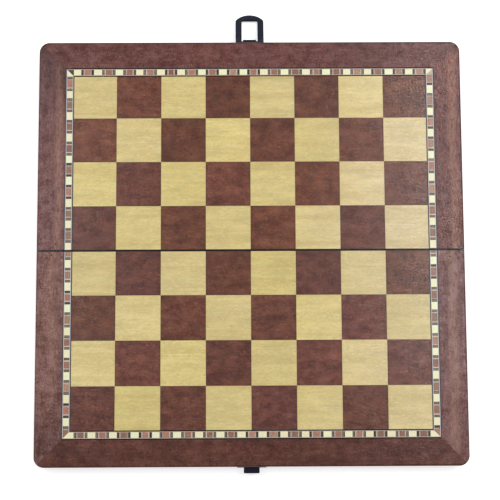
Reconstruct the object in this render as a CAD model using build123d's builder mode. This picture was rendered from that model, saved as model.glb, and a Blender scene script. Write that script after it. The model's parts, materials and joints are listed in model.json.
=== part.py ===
# Folding chess board lying open: two shallow wooden trays, face up, hinged along the middle seam.
# +X runs along the seam, +Y to the rear half with the latch, +Z up from the table it stands on.
# The origin is on the table under the middle of the seam, between the two hinges.
import os
from math import asin, cos, degrees, pi, radians, sin, sqrt, tan

from build123d import *

# Playing field and inlaid banding, in millimetres.
square = 40.0  # side of one square
squares = 8  # squares along each side of the field
edge_trim = 1.5  # how far the banding covers the outermost squares
stringing = 1.0  # black line at each side of the banding
hairline = 0.5  # pale line inside each black line
mosaic_width = 5.0  # row of small blocks between the pale lines
veneer = 0.8  # thickness of squares and banding
glue_line = 0.05  # gap left between neighbouring veneers

# Repeat of the mosaic: cream block, dark bar, red block, dark bar.
outer_pitch = 18.73  # repeat along the front and rear strips, a block to each side of the middle
side_pitch = 20.0  # repeat along the left and right strips
first_block = {"front": 10.7, "rear": 4.2}  # middle of the first cream block from the seam
cream_length = 7.0
bar_length = 2.1

# Frame, panel and lining of each tray.
border = 24.0  # plain frame round the banding
corner_radius = 9.0  # plan radius of the four corners
top_round = 1.5
rim_chamfer = 0.8
half_height = 25.0  # one tray, from rim to playing surface
wall = 9.0
flange = 8.0  # thickness of the border over the tray
ledge = 6.0  # width of the ledge that carries the panel
panel = 4.0
panel_fit = 0.1
spine = 10.0  # thickness of the wall along the seam
seam_gap = 0.5
felt = 1.0

# Butt hinges let into the rims.
hinge_from_middle = 110.0
hinge_length = 30.0
knuckles = 3
knuckle_radius = 1.35
knuckle_gap = 0.3
hinge_pin_radius = 0.65
pin_clearance = 0.05
leaf_width = 8.0
leaf_thickness = 0.7
leaf_standoff = 0.1  # from the hinge axis to each leaf
rim_standoff = 0.15  # from the hinge axis to each rim
relief = 0.3  # room round the knuckles in wood and in the other leaf
leaf_screw_in = 5.0  # from the hinge axis to the screws
leaf_screws_apart = 18.0

# Swinging bail latch on the rear wall and its hook on the front wall.
plate_height = 13.0
plate_thickness = 0.8
plate_corner = 1.5
pivot_height = 12.0  # above the rim
pivot_out = 3.6  # from the wall
pivot_above_plate = 3.0  # from the plate's lower edge to the pivot
nose_width = 12.0
nose_radius = 2.2
latch_pin_radius = 0.9
bail_width = 25.8  # also the width of both base plates
bail_reach = 31.6  # pivot to the middle of the arched end
bail_arch = 6.5  # rise of the arched end
bail_window = 14.5  # opening between the arms
bail_band = 7.0  # metal between the window and the arched end
bail_thickness = 2.0
bail_chamfer = 0.6
bail_eye_radius = 2.0
table_clearance = 0.05
hook_width = 14.0
hook_out = 6.0  # from the wall to the outside of the lip
hook_metal = 1.4
lip_height = 1.4
hook_round = 0.7
pass_clearance = 0.3  # between the swinging bail and the lip
latch_screws_apart = 17.2
latch_screws_up = 5.2  # above the pivot
catch_screws_apart = 19.0

# Countersunk wood screws.
screw_radius = 0.8
head_angle = 90.0
head_land = 0.1  # straight rim of a head above its cone
screw_length = 6.5
screw_fit = 0.05
head_sides = 16  # flats round a head and round its countersink
shank_sides = 8  # the thread isn't cut, so the hidden shank is an eight-sided prism

# Levels and distances that follow.
axis_z = knuckle_radius
rim_z = axis_z + rim_standoff
top_z = rim_z + half_height
veneer_z = top_z - veneer
ledge_top = veneer_z - panel
flange_bottom = top_z - flange
seam_half = seam_gap / 2
field_half = square * squares / 2 - edge_trim
banding_lines = [stringing, hairline, mosaic_width, hairline, stringing]
panel_half = field_half + sum(banding_lines)
board_half = panel_half + border
tray_half = board_half - wall
lining_half = panel_half - ledge
lining_near = seam_half + spine
inner_hairline = field_half + stringing
mosaic_inner = inner_hairline + hairline
outer_hairline = mosaic_inner + mosaic_width
outer_black = outer_hairline + hairline
bar_place = (cream_length + bar_length) / 2  # from the middle of a cream block
past_corner = 2 * board_half  # well outside the board, for the mitre cuts
leaf_low = axis_z + leaf_standoff
knuckle_pitch = hinge_length / knuckles
pivot_z = rim_z + pivot_height
droop = asin((pivot_z - bail_thickness / 2 - table_clearance) / bail_reach)
window_reach = bail_reach - bail_band
closed_pivot_z = 2 * axis_z - pivot_z
lip_top = closed_pivot_z + sqrt((window_reach - pass_clearance) ** 2 - (hook_out - pivot_out) ** 2)
hook_top = lip_top - lip_height
catch_low = hook_top - plate_height / 2
pivot = (0, board_half + pivot_out, pivot_z)
sides = {"front": -1, "rear": 1}
hands = {"left": -1, "right": 1}
os.makedirs("parts", exist_ok=True)


def save(part, name):
    part.label = name
    export_step(part, f"parts/{name}.step")


def bay(side, reach):
    """Adds a rectangle from the seam line to reach, as wide as twice reach, to the sketch."""
    with Locations((0, side * reach / 2)):
        Rectangle(2 * reach, reach)


def leaf_seats(side, middle_x):
    """Planes at the screw heads of one leaf, facing down."""
    spots = (middle_x - leaf_screws_apart / 2, middle_x + leaf_screws_apart / 2)
    return [Plane((x, side * leaf_screw_in, leaf_low), (1, 0, 0), (0, 0, -1)) for x in spots]


def wall_seats(side, apart, height):
    """Planes at the two screw heads of a plate on the outer wall, facing out."""
    out = side * (board_half + plate_thickness)
    return [Plane((x, out, height), (1, 0, 0), (0, side, 0)) for x in (-apart / 2, apart / 2)]


def banding_outline(side, strip, inner, outer):
    """Corners of one mitred strip of the banding between two distances from the middle."""
    near, far = inner + glue_line / 2, outer - glue_line / 2
    if strip == "outer":
        cut = glue_line
        return [(cut - near, side * near), (near - cut, side * near),
                (far - cut, side * far), (cut - far, side * far)]
    hand = hands[strip]
    start = side * seam_half
    return [(hand * near, start), (hand * far, start), (hand * far, side * far), (hand * near, side * near)]


def banding_line(side, spans):
    """Plain veneer lines, each carried round the half as three mitred strips."""
    with BuildPart() as line:
        for inner, outer in spans:
            for strip in ("left", "outer", "right"):
                with BuildSketch(Plane.XY.offset(veneer_z)):
                    Polygon(*banding_outline(side, strip, inner, outer), align=None)
                extrude(amount=veneer)
    return line.part


def mosaic_blocks(half, length, offsets):
    """Blocks of one kind, at offsets from the middle of each cream block, cut off at the mitres."""
    side = sides[half]
    middle = mosaic_inner + mosaic_width / 2
    with BuildPart() as blocks:
        for strip, pitch in (("left", side_pitch), ("outer", outer_pitch), ("right", side_pitch)):
            count = int(board_half / pitch) + 1
            first = outer_pitch / 2 if strip == "outer" else first_block[half]
            starts = [first + n * pitch for n in range(-count, count)]
            with BuildSketch(Plane.XY.offset(veneer_z)):
                for place in [start + offset(pitch) for start in starts for offset in offsets]:
                    spot = (place, side * middle) if strip == "outer" else (hands[strip] * middle, side * place)
                    size = (length(pitch) - glue_line, mosaic_width)
                    with Locations(spot):
                        Rectangle(*(size if strip == "outer" else reversed(size)))
                outline = banding_outline(side, strip, mosaic_inner, mosaic_inner + mosaic_width)
                Polygon(*outline, align=None, mode=Mode.INTERSECT)
            extrude(amount=veneer)
    return blocks.part


def square_veneers(side, light):
    """All squares of one colour in one half; the corner at the front left is dark."""
    rows = range(squares // 2, squares) if side > 0 else range(squares // 2)
    spots = [((column + 0.5 - squares / 2) * square, (row + 0.5 - squares / 2) * square)
             for row in rows for column in range(squares) if (row + column) % 2 == light]
    with BuildPart() as veneers:
        with BuildSketch(Plane.XY.offset(veneer_z)):
            with Locations(*spots):
                Rectangle(square - glue_line, square - glue_line)
            with Locations((0, side * (field_half + seam_half) / 2)):
                Rectangle(2 * field_half - glue_line, field_half - seam_half - glue_line, mode=Mode.INTERSECT)
        extrude(amount=veneer)
    return veneers.part


def tray_frame(side):
    """Border, ledge and walls of one half in one piece, before the mitres are cut."""
    with BuildPart() as frame:
        with BuildSketch(Plane.XY.offset(rim_z)) as plan:
            with Locations((0, side * (board_half + seam_half) / 2)):
                Rectangle(2 * board_half, board_half - seam_half)
            far_corners = [v for v in plan.vertices() if abs(v.Y) > board_half / 2]
            fillet(far_corners, radius=corner_radius)
        extrude(amount=half_height)
        rim, top = frame.faces().sort_by(Axis.Z)[0], frame.faces().sort_by(Axis.Z)[-1]
        fillet([e for e in top.edges() if abs(e.center().Y) > seam_gap], radius=top_round)
        chamfer([e for e in rim.edges() if abs(e.center().Y) > seam_gap], length=rim_chamfer)
        with BuildSketch(Plane.XY.offset(ledge_top)):
            bay(side, panel_half)
        extrude(amount=half_height, mode=Mode.SUBTRACT)
        with BuildSketch(Plane.XY.offset(rim_z)):
            bay(side, lining_half)
        extrude(amount=half_height, mode=Mode.SUBTRACT)
        with BuildSketch(Plane.XY.offset(rim_z)):
            bay(side, tray_half)
        extrude(amount=flange_bottom - rim_z, mode=Mode.SUBTRACT)
    return frame.part


def mitred_rail(frame, outline, seats):
    """One rail of the frame between its mitre cuts, with pilot holes where a plate is screwed on."""
    with BuildPart() as rail:
        add(frame)
        with BuildSketch(Plane.XY.offset(rim_z)):
            Polygon(*outline, align=None)
        extrude(amount=half_height, mode=Mode.INTERSECT)
        if seats:
            with Locations(*seats):
                add(shank(screw_radius + screw_fit, screw_length + screw_fit), mode=Mode.SUBTRACT)
    return rail.part


def spine_rail(side):
    """Wall along the seam, under the panel and between the side rails, let in for both hinges."""
    profile = [(-tray_half, rim_z), (tray_half, rim_z), (tray_half, flange_bottom), (lining_half, flange_bottom),
               (lining_half, ledge_top), (-lining_half, ledge_top), (-lining_half, flange_bottom),
               (-tray_half, flange_bottom)]
    with BuildPart() as rail:
        with BuildSketch(Plane((0, side * seam_half, 0), (-side, 0, 0), (0, side, 0))):
            Polygon(*profile, align=None)
        extrude(amount=spine)
        for hand in hands.values():
            middle_x = hand * hinge_from_middle
            with BuildSketch(Plane.XY.offset(rim_z)):
                with Locations((middle_x, side * leaf_width / 2)):
                    Rectangle(hinge_length + 2 * panel_fit, leaf_width + 2 * panel_fit)
            extrude(amount=leaf_low + leaf_thickness - rim_z, mode=Mode.SUBTRACT)
            knuckle_notch(side, middle_x, hinge_length + 2 * relief, rim_z)
            with Locations(*leaf_seats(side, middle_x)):
                add(shank(screw_radius + screw_fit, screw_length + screw_fit), mode=Mode.SUBTRACT)
    return rail.part


def knuckle_rod(middle_x, length, radius, mode):
    """Adds or cuts a round bar on the hinge axis."""
    with Locations((middle_x, 0, axis_z)):
        Cylinder(radius, length, rotation=(0, 90, 0), mode=mode)


def knuckle_notch(side, middle_x, length, bottom):
    """Cuts a square notch beside the hinge axis, as deep and as high as a knuckle needs."""
    depth = knuckle_radius + relief
    with Locations((middle_x, side * depth / 2, (bottom + axis_z + depth) / 2)):
        Box(length, depth, axis_z + depth - bottom, mode=Mode.SUBTRACT)


def hinge_leaf(side, middle_x):
    """Leaf with its knuckles: the front leaf has the outer ones and the rear leaf the one between."""
    spots = [middle_x + (n - (knuckles - 1) / 2) * knuckle_pitch for n in range(knuckles)]
    own, other = (spots[0::2], spots[1::2]) if side < 0 else (spots[1::2], spots[0::2])
    with BuildPart() as leaf:
        with BuildSketch(Plane.XY.offset(leaf_low)):
            with Locations((middle_x, side * leaf_width / 2)):
                Rectangle(hinge_length, leaf_width)
        extrude(amount=leaf_thickness)
        for x in other:
            knuckle_notch(side, x, knuckle_pitch + knuckle_gap, leaf_low)
        for x in own:
            knuckle_rod(x, knuckle_pitch - knuckle_gap, knuckle_radius, Mode.ADD)
        knuckle_rod(middle_x, hinge_length, hinge_pin_radius + pin_clearance, Mode.SUBTRACT)
        with Locations(*leaf_seats(side, middle_x)):
            add(screw_head(leaf_thickness, screw_fit), mode=Mode.SUBTRACT)
    return leaf.part


def screw_head(thickness, room=0):
    """Head under a seat plane, as deep as a plate is thick; with room round it, the countersink for it."""
    cone_depth = thickness - head_land
    cone_run = cone_depth * tan(radians(head_angle / 2))
    with BuildPart() as head:
        with BuildSketch():
            RegularPolygon(screw_radius + room + cone_run, head_sides)
        extrude(amount=-thickness)
        under = head.faces().sort_by(Axis.Z)[0]
        chamfer(under.edges(), length=cone_run * cos(pi / head_sides), length2=cone_depth, reference=under)
    return head.part


def shank(radius, length):
    """Prism down from a screw's seat plane, as its shank or as the pilot hole for it."""
    with BuildPart() as prism:
        with BuildSketch(Plane.XY.offset(-length)):
            RegularPolygon(radius, shank_sides)
        extrude(amount=length)
    return prism.part


def screw_set(seats, thickness):
    """Countersunk screws, one at each seat, head flush with the plate."""
    with BuildPart() as screw:
        add(screw_head(thickness))
        add(shank(screw_radius, screw_length))
    with BuildPart() as screws:
        with Locations(*seats):
            add(screw.part)
    return screws.part


def wall_plate(side, low, seats):
    """Base plate of the latch or the catch, with its two countersunk holes."""
    with BuildPart() as plate:
        with BuildSketch(Plane((0, side * board_half, low), (-side, 0, 0), (0, side, 0))) as face:
            with Locations((0, plate_height / 2)):
                Rectangle(bail_width, plate_height)
            fillet(face.vertices(), radius=plate_corner)
        extrude(amount=plate_thickness)
        with Locations(*seats):
            add(screw_head(plate_thickness, screw_fit), mode=Mode.SUBTRACT)
    return plate.part


latch_seats = wall_seats(1, latch_screws_apart, pivot_z + latch_screws_up)
catch_seats = wall_seats(-1, catch_screws_apart, catch_low + plate_height / 2)

for half, side in sides.items():
    frame = tray_frame(side)
    seats = latch_seats if side > 0 else catch_seats
    far = side * past_corner
    save(mitred_rail(frame, [(0, 0), (past_corner, far), (-past_corner, far)], seats), f"{half}_outer_rail")
    for hand, turn in hands.items():
        out = turn * past_corner
        save(mitred_rail(frame, [(0, 0), (out, 0), (out, far)], []), f"{half}_{hand}_rail")
    save(spine_rail(side), f"{half}_spine_rail")

    with BuildPart() as board_panel:
        with BuildSketch(Plane.XY.offset(ledge_top)):
            with Locations((0, side * (panel_half + seam_half) / 2)):
                Rectangle(2 * (panel_half - panel_fit), panel_half - seam_half - 2 * panel_fit)
        extrude(amount=panel)
    save(board_panel.part, f"{half}_panel")

    with BuildPart() as lining:
        with BuildSketch(Plane.XY.offset(ledge_top - felt)):
            with Locations((0, side * (lining_half + lining_near) / 2)):
                Rectangle(2 * (lining_half - panel_fit), lining_half - lining_near - 2 * panel_fit)
        extrude(amount=felt)
    save(lining.part, f"{half}_felt_lining")

    save(square_veneers(side, 1), f"{half}_light_squares")
    save(square_veneers(side, 0), f"{half}_dark_squares")
    save(banding_line(side, [(field_half, inner_hairline), (outer_black, panel_half)]), f"{half}_black_stringing")
    save(banding_line(side, [(inner_hairline, mosaic_inner), (outer_hairline, outer_black)]),
         f"{half}_pale_hairlines")
    save(mosaic_blocks(half, lambda pitch: cream_length, [lambda pitch: 0]), f"{half}_cream_blocks")
    save(mosaic_blocks(half, lambda pitch: bar_length, [lambda pitch: bar_place, lambda pitch: -bar_place]),
         f"{half}_dark_bars")
    save(mosaic_blocks(half, lambda pitch: pitch - cream_length - 2 * bar_length, [lambda pitch: pitch / 2]),
         f"{half}_red_blocks")

    hinge_seats = []
    for hand, turn in hands.items():
        middle_x = turn * hinge_from_middle
        save(hinge_leaf(side, middle_x), f"{hand}_hinge_{half}_leaf")
        hinge_seats += leaf_seats(side, middle_x)
    save(screw_set(hinge_seats, leaf_thickness), f"{half}_hinge_screws")

for hand, turn in hands.items():
    with BuildPart() as hinge_pin:
        knuckle_rod(turn * hinge_from_middle, hinge_length - knuckle_gap, hinge_pin_radius, Mode.ADD)
    save(hinge_pin.part, f"{hand}_hinge_pin")

with BuildPart() as latch_plate:
    add(wall_plate(1, pivot_z - pivot_above_plate, latch_seats))
    with BuildSketch(Plane.YZ.offset(-nose_width / 2)):
        with Locations((board_half + pivot_out / 2, pivot_z)):
            Rectangle(pivot_out, 2 * nose_radius)
        with Locations((pivot[1], pivot_z)):
            Circle(nose_radius)
            Circle(latch_pin_radius + pin_clearance, mode=Mode.SUBTRACT)
    extrude(amount=nose_width)
save(latch_plate.part, "latch_plate")
save(screw_set(latch_seats, plate_thickness), "latch_screws")

# The bail is drawn flat, outwards from its pivot, and hangs with its arched end on the table.
bail_plane = Plane(pivot, (1, 0, 0), (0, sin(droop), cos(droop)))
shoulder = bail_reach - bail_arch
arm_middle = (bail_width + bail_window) / 4
with BuildPart() as latch_bail:
    with BuildSketch(bail_plane.offset(-bail_thickness / 2)):
        with BuildLine():
            Polyline((bail_width / 2, shoulder), (bail_width / 2, 0), (-bail_width / 2, 0), (-bail_width / 2, shoulder))
            ThreePointArc((-bail_width / 2, shoulder), (0, bail_reach), (bail_width / 2, shoulder))
        make_face()
        with Locations((0, window_reach / 2)):
            Rectangle(bail_window, window_reach, mode=Mode.SUBTRACT)
    extrude(amount=bail_thickness)
    faces = latch_bail.faces().sort_by(Axis(pivot, bail_plane.z_dir))
    long_edges = [e for face in (faces[0], faces[-1]) for e in face.edges()
                  if bail_plane.to_local_coords(e.center()).Y > bail_chamfer]
    chamfer(long_edges, length=bail_chamfer)
    for turn in hands.values():
        eye_start = turn * arm_middle - (bail_width - bail_window) / 4
        with BuildSketch(Plane.YZ.offset(eye_start)):
            with Locations(pivot[1:]):
                Circle(bail_eye_radius)
        extrude(amount=(bail_width - bail_window) / 2)
    with BuildSketch(Plane.YZ.offset(-bail_width / 2)):
        with Locations(pivot[1:]):
            Circle(latch_pin_radius + pin_clearance)
    extrude(amount=bail_width, mode=Mode.SUBTRACT)
save(latch_bail.part, "latch_bail")

with BuildPart() as latch_pin:
    with BuildSketch(Plane.YZ.offset(-bail_width / 2)):
        with Locations(pivot[1:]):
            Circle(latch_pin_radius)
    extrude(amount=bail_width)
save(latch_pin.part, "latch_pin")

# The hook is a bent tongue: out from its plate, then up into a lip that the bail passes.
hook = [(board_half, hook_top - hook_metal), (board_half + hook_out, hook_top - hook_metal),
        (board_half + hook_out, lip_top), (board_half + hook_out - hook_metal, lip_top),
        (board_half + hook_out - hook_metal, hook_top), (board_half, hook_top)]
with BuildPart() as catch_plate:
    with BuildSketch(Plane.YZ.offset(-hook_width / 2)) as tongue:
        Polygon(*[(-y, z) for y, z in hook], align=None)
        bend = tongue.vertices().group_by(Axis.Y)[0].sort_by(Axis.Z)[0]
        fillet(bend, radius=hook_round)
    extrude(amount=hook_width)
    upright = catch_plate.edges().filter_by(Axis.Z).group_by(Axis.Y)[0]
    chamfer(upright, length=hook_round)
    add(wall_plate(-1, catch_low, catch_seats))
save(catch_plate.part, "catch_plate")
save(screw_set(catch_seats, plate_thickness), "catch_screws")

closed_angle = 90 - degrees(droop)
print("bail at rest", round(degrees(droop), 3), "degrees down; closed after", round(closed_angle, 3))
print("pivot of the bail", [round(v, 4) for v in pivot], "top of the lip", round(lip_top, 3))
print("levels: hinge axis", axis_z, "rim", rim_z, "playing surface", top_z)
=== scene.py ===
import json
from math import pi, radians

import bmesh
import bpy
import numpy as np
from mathutils import Euler, Matrix, Vector


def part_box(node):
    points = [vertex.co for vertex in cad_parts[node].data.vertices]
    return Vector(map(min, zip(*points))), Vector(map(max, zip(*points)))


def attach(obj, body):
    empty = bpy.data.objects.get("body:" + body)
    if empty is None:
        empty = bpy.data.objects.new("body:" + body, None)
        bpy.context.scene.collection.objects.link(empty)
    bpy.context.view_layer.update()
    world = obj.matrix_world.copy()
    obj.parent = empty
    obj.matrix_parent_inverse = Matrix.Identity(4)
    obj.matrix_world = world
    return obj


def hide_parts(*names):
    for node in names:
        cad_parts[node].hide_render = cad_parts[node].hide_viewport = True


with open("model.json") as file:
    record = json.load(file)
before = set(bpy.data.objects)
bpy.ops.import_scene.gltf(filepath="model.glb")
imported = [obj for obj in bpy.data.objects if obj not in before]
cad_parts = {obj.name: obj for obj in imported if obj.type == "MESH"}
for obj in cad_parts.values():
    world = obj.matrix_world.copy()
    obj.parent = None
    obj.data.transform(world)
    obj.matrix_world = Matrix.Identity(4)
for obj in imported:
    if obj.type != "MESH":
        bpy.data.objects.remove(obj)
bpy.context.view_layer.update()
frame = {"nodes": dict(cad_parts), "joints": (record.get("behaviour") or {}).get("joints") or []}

nodes = frame["nodes"]
halves = {"front": -1, "rear": 1}
hands = {"left": -1, "right": 1}

# Levels and distances of the board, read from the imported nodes.
railLow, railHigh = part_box("rear_right_rail")
stringLow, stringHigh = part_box("rear_black_stringing")
boardHalf, topZ, rimZ = railHigh.x, railHigh.z, railLow.z
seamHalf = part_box("rear_spine_rail")[0].y
ledgeZ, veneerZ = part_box("rear_panel")[0].z, stringLow.z
squareSide = 0.040


def srgb(red, green, blue):
    # colour as it looks on screen, 0 to 255, to the linear values that a shader takes
    share = np.array([red, green, blue]) / 255
    linear = np.where(share < 0.04045, share / 12.92, ((share + 0.055) / 1.055) ** 2.4)
    return (*linear.tolist(), 1.0)


# Shader helpers

def place(tree, kind, **settings):
    node = tree.nodes.new("ShaderNode" + kind)
    for name, value in settings.items():
        setattr(node, name, value)
    return node


def feed(tree, target, value):
    # a socket is linked, anything else becomes the target's own value
    if isinstance(value, bpy.types.NodeSocket):
        tree.links.new(value, target)
    else:
        target.default_value = value


def feedInOrder(tree, node, values):
    for target, value in zip(node.inputs, values):
        feed(tree, target, value)
    return node.outputs


def feedByName(tree, sockets, **values):
    for name, value in values.items():
        feed(tree, sockets[name], value)


def maths(tree, operation, *values):
    return feedInOrder(tree, place(tree, "Math", operation=operation), values)[0]


def vectorMaths(tree, operation, *values):
    # a number's socket among the values feeds all three parts of its vector
    outputs = feedInOrder(tree, place(tree, "VectorMath", operation=operation), values)
    return outputs["Value" if operation in ("LENGTH", "DISTANCE") else "Vector"]


def ramp(tree, value, low, high, bottom=0.0, top=1.0):
    # smooth step from bottom to top while value goes from low to high
    node = place(tree, "MapRange", interpolation_type="SMOOTHSTEP")
    return feedInOrder(tree, node, (value, low, high, bottom, top))[0]


def noise(tree, vector, scale, detail=2.0, roughness=0.5, distortion=0.0):
    node = place(tree, "TexNoise")
    feedByName(tree, node.inputs, Vector=vector, Scale=scale, Detail=detail, Roughness=roughness,
               Distortion=distortion)
    return node.outputs["Fac"]


def blendColour(tree, factor, first, second):
    node = place(tree, "Mix", data_type="RGBA")
    feedByName(tree, node.inputs, Factor=factor, A=first, B=second)
    return node.outputs["Result"]


def joinVector(tree, x, y, z):
    return feedInOrder(tree, place(tree, "CombineXYZ"), (x, y, z))[0]


def splitVector(tree, vector):
    return feedInOrder(tree, place(tree, "SeparateXYZ"), [vector])


def startGroup(name, inputs, outputs):
    # Vector and Stretch are vectors, every other socket is a number
    group = bpy.data.node_groups.new(name, "ShaderNodeTree")
    for labels, direction in ((inputs, "INPUT"), (outputs, "OUTPUT")):
        for label in labels.split():
            kind = "Vector" if label in ("Vector", "Stretch") else "Float"
            group.interface.new_socket(label, in_out=direction, socket_type="NodeSocket" + kind)
    return group, group.nodes.new("NodeGroupInput").outputs, group.nodes.new("NodeGroupOutput").inputs


def useGroup(tree, group, **values):
    node = place(tree, "Group", node_tree=group)
    feedByName(tree, node.inputs, **values)
    return node.outputs


def emptyTree(holder):
    holder.use_nodes = True
    holder.node_tree.nodes.clear()
    return holder.node_tree


def startMaterial(name):
    material = bpy.data.materials.new(name)
    tree = emptyTree(material)
    shader = place(tree, "BsdfPrincipled")
    tree.links.new(shader.outputs[0], place(tree, "OutputMaterial").inputs["Surface"])
    return material, tree, shader.inputs, place(tree, "TexCoord").outputs["Object"]


def addBump(tree, sockets, height, distance):
    bump = place(tree, "Bump")
    feedByName(tree, bump.inputs, Height=height, Distance=distance)
    tree.links.new(bump.outputs[0], sockets["Normal"])


# Shared effects, one node group each

grainShape = {
    "line": 5.0,  # fineness of the lines, against 1 for the bands
    "bandWarp": 0.6,
    "lineWarp": 0.3,
    "pore": (0.53, 0.72),  # where the pores' noise starts to show, and where it is full
    "lineRelief": 0.4,
}


def makeWoodGroup():
    # Grain: noise drawn out along the wood, in three widths: broad bands, fine lines and short pores.
    # Stretch is how many features a metre holds along each axis.
    g = grainShape
    group, given, out = startGroup("woodGrain", "Vector Stretch Pores", "Band Line Pore Height")
    drawn = vectorMaths(group, "MULTIPLY", given["Vector"], given["Stretch"])
    band = noise(group, drawn, 1.0, distortion=g["bandWarp"])
    line = noise(group, drawn, g["line"], detail=3.0, roughness=0.6, distortion=g["lineWarp"])
    pore = ramp(group, noise(group, drawn, given["Pores"], roughness=0.6), *g["pore"])
    relief = maths(group, "MULTIPLY", line, g["lineRelief"])
    feedByName(group, out, Band=band, Line=line, Pore=pore, Height=maths(group, "SUBTRACT", relief, pore))
    return group


mottleShape = {
    "grainWarp": 1.2,
    "grainShare": 0.62,
    "cloud": 0.16,  # fineness of the clouds, and of each colour's own noise, against 1 for the grains
    "cloudShare": 0.3,
    "own": 0.45,
    "ownShare": 0.08,
    "apart": (7.3, 2.9, 5.1),  # from the place of one colour's own noise to that of the next
    "shows": (0.35, 0.65),
}


def makeMottleGroup():
    # Fine mottle of the fibres: grains and wider clouds shared by the three colours, and a little of each
    # colour's own.
    m = mottleShape
    group, given, out = startGroup("woodMottle", "Vector Fineness", "Red Green Blue Grains")
    fine = vectorMaths(group, "MULTIPLY", given["Vector"], given["Fineness"])
    grains = noise(group, fine, 1.0, roughness=0.65, distortion=m["grainWarp"])
    clouds = maths(group, "MULTIPLY", noise(group, fine, m["cloud"]), m["cloudShare"])
    shared = maths(group, "MULTIPLY_ADD", grains, m["grainShare"], clouds)
    for number, name in enumerate(("Red", "Green", "Blue")):
        moved = vectorMaths(group, "ADD", fine, [number * step for step in m["apart"]])
        own = noise(group, moved, m["own"], detail=1.0)
        feed(group, out[name], maths(group, "MULTIPLY_ADD", own, m["ownShare"], shared))
    feed(group, out["Grains"], grains)
    return group


cellShape = {"joint": 0.0012, "shift": (3.0, 3.0, 3.0)}


def makeCellGroup():
    # A random tone, warmth and shift of the grain for each square of the field, and a mask of its joints.
    group, given, out = startGroup("squareTone", "Vector Side", "Tone Warm Joint Vector")
    axes = splitVector(group, given["Vector"])
    halfSide = maths(group, "MULTIPLY", given["Side"], 0.5)
    toJoint = maths(group, "MINIMUM", *[maths(group, "PINGPONG", axes[n], halfSide) for n in (0, 1)])
    cell = vectorMaths(group, "FLOOR", vectorMaths(group, "DIVIDE", given["Vector"],
                                                   joinVector(group, given["Side"], given["Side"], 1.0)))
    chance = place(group, "TexWhiteNoise", noise_dimensions="3D")
    feed(group, chance.inputs["Vector"], cell)
    shift = vectorMaths(group, "MULTIPLY", chance.outputs["Color"], cellShape["shift"])
    joint = ramp(group, toJoint, 0.0, cellShape["joint"], 1.0, 0.0)
    warm = splitVector(group, chance.outputs["Color"])[1]
    feedByName(group, out, Tone=chance.outputs["Value"], Warm=warm, Joint=joint,
               Vector=vectorMaths(group, "ADD", given["Vector"], shift))
    return group


finish = {
    "roughness": 0.20,
    "drift": 0.04,
    "patches": 28.0,  # patches of the roughness and dimples of the orange peel, in a metre
    "peel": 900.0,
    "grainDrift": -1.8,
    "grainLift": 2.0,
    "peelLift": 0.25,
    "relief": 0.00004,
    "specular": 0.25,
}


def makeLacquerGroup():
    # Satin lacquer: roughness that drifts in patches and from fibre to fibre, with a fine orange peel.
    group, given, out = startGroup("satinLacquer", "Vector Roughness Drift Grains GrainDrift",
                                   "Roughness Peel")
    patches = noise(group, given["Vector"], finish["patches"], detail=3.0, roughness=0.6)
    centred = maths(group, "MULTIPLY_ADD", patches, 2.0, -1.0)
    wide = maths(group, "MULTIPLY_ADD", centred, given["Drift"], given["Roughness"])
    grains = maths(group, "SUBTRACT", given["Grains"], 0.5)
    feedByName(group, out, Roughness=maths(group, "MULTIPLY_ADD", grains, given["GrainDrift"], wide),
               Peel=noise(group, given["Vector"], finish["peel"]))
    return group


woodGrain = makeWoodGroup()
woodMottle = makeMottleGroup()
squareTone = makeCellGroup()
satinLacquer = makeLacquerGroup()


def lacquer(tree, sockets, where, colour, height, grains=0.5, specular=finish["specular"]):
    # a wood of this colour under its clear satin coat: its roughness, and the grain's relief with the peel on
    # top
    coat = useGroup(tree, satinLacquer, Vector=where, Roughness=finish["roughness"], Drift=finish["drift"],
                    Grains=grains, GrainDrift=finish["grainDrift"])
    lift = maths(tree, "MULTIPLY", grains, finish["grainLift"])
    relief = maths(tree, "MULTIPLY_ADD", coat["Peel"], finish["peelLift"], lift)
    feed(tree, sockets["Base Color"], paintSeamShade(tree, where, colour))
    feed(tree, sockets["Roughness"], coat["Roughness"])
    sockets["Specular IOR Level"].default_value = specular
    addBump(tree, sockets, maths(tree, "ADD", relief, height), finish["relief"])


def mottle(tree, vector, fineness, strengths):
    # small painted glints where the fibres turn up to the light: a factor for each of the three colours, and
    # the grains that make them
    figure = useGroup(tree, woodMottle, Vector=vector, Fineness=fineness)
    factors = [ramp(tree, figure[name], *mottleShape["shows"], 1.0 - strength / 2, 1.0 + strength / 2)
               for name, strength in zip(("Red", "Green", "Blue"), strengths)]
    return joinVector(tree, *factors), figure["Grains"]


def grainColour(tree, grain, look):
    # base wood, darker in its bands and pores and paler in its lines
    line = ramp(tree, grain["Line"], *look["line"], 0.0, look["lineShare"])
    pore = maths(tree, "MULTIPLY", grain["Pore"], look["poreShare"])
    colour = blendColour(tree, ramp(tree, grain["Band"], *look["band"]), look["base"], look["deep"])
    colour = blendColour(tree, line, colour, look["pale"])
    return blendColour(tree, pore, colour, look["deep"])


# painted shade of the seam's gap and its rounded edges, nearly black
seamShadeLook = {
    "shadeColour": srgb(4, 2, 2),
    "across": (0.00055, 0.00080),  # from the seam's edge, where the painted shade starts to fade and where it ends
    "down": (0.0030, 0.0012),  # below the top, where it ends and where it starts to fade
}


def paintSeamShade(tree, where, colour):
    # painted shade on the upper edges that meet at the seam, nearly black, a little on to the top and a
    # little down, for the shade in the gap and on its rounded edges
    axes = splitVector(tree, where)
    fromSeam = maths(tree, "SUBTRACT", maths(tree, "ABSOLUTE", axes[1]), seamHalf)
    across = ramp(tree, fromSeam, *seamShadeLook["across"], 1.0, 0.0)
    down = ramp(tree, axes[2], *[topZ - depth for depth in seamShadeLook["down"]])
    return blendColour(tree, maths(tree, "MULTIPLY", across, down), colour, seamShadeLook["shadeColour"])


# Squares of the field

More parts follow.
